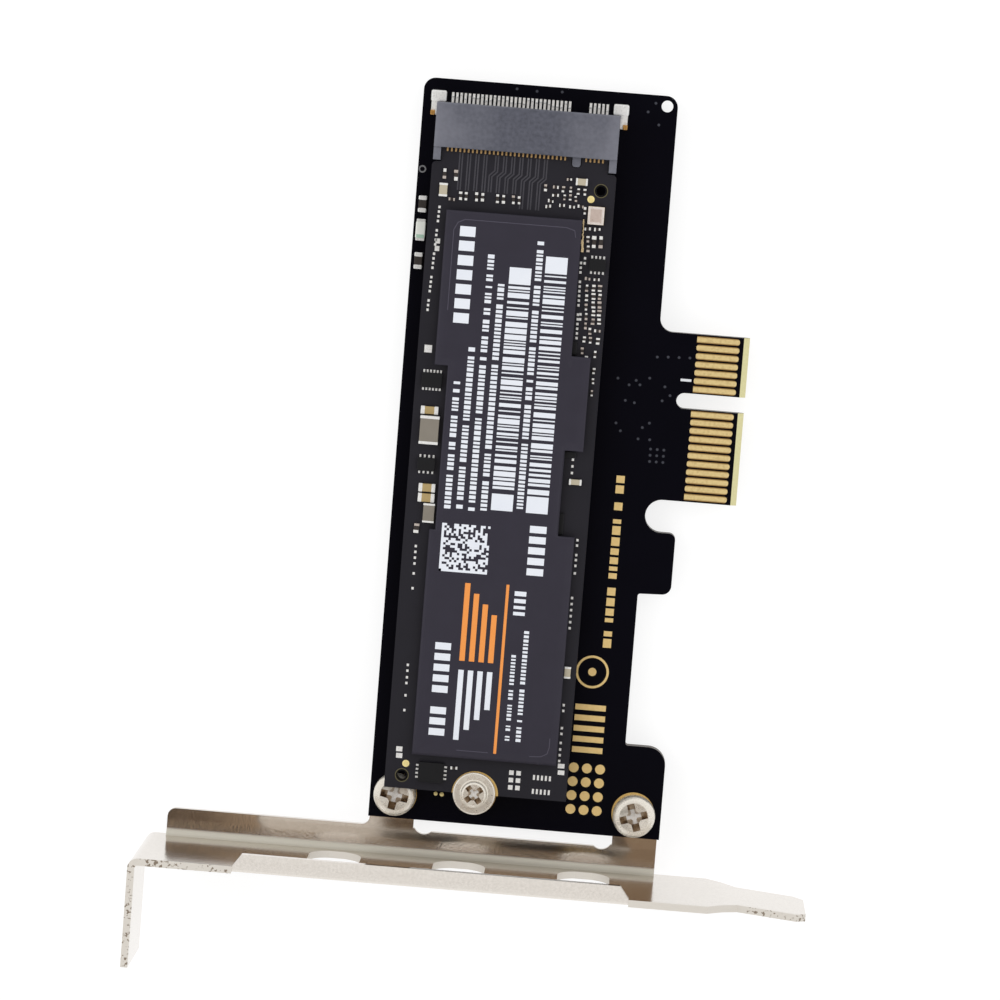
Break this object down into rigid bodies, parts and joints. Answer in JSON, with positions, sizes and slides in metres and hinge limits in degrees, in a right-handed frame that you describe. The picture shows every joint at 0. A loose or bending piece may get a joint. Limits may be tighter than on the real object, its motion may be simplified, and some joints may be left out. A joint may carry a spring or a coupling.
{
  "type": "nvme adapter card",
  "caption": "Low-profile expansion card with an edge plug, a socket holding a screwed-down solid-state drive, and a folded steel mounting bracket with vent slots.",
  "frame": {"origin": "centre of the key notch on the plug edge, half way through the card board's thickness", "axes": "+X is the plug-in direction, +Y runs along the card away from the bracket, +Z is out of the component side; the card lies on its back"},
  "size_m": [0.0804, 0.1074, 0.0194],
  "materials": {
    "card_mask": "black solder mask, slightly glossy",
    "gold_plate": "gold plating, satin",
    "socket_plastic": "moulded, satin dark grey",
    "contact_metal": "bright tinned tails",
    "solder_tin": "tinned",
    "standoff_brass": "turned",
    "screw_nickel": "nickel plated",
    "bracket_steel": "nickel plated, satin",
    "lamp_resin": "clear white resin",
    "ceramic": "fired ceramic",
    "drive_mask": "dark grey solder mask",
    "package_resin": "moulded epoxy",
    "label_film": "matt dark film, plain fields",
    "crystal_can": "metal lid",
    "ferrite": "moulded ferrite"
  },
  "bodies": {
    "root": {"adapter_board": "card_mask", "edge_fingers_front": "gold_plate", "edge_fingers_back": "gold_plate", "ground_pads": "gold_plate", "m2_socket_housing": "socket_plastic", "m2_upper_contacts": "contact_metal", "m2_lower_contacts": "contact_metal", "m2_hold_downs": "solder_tin", "standoff": "standoff_brass", "drive_screw": "screw_nickel", "bracket": "bracket_steel", "bracket_screws": "screw_nickel", "status_led": "lamp_resin", "adapter_passives": "ceramic", "drive_board": "drive_mask", "drive_fingers_top": "gold_plate", "drive_fingers_bottom": "gold_plate", "drive_end_ring": "gold_plate", "controller_chip": "package_resin", "buffer_chip": "package_resin", "memory_chips": "package_resin", "drive_label": "label_film", "drive_crystal": "crystal_can", "drive_inductors": "ferrite", "drive_small_ics": "package_resin", "drive_capacitors": "ceramic"}
  },
  "joints": []
}
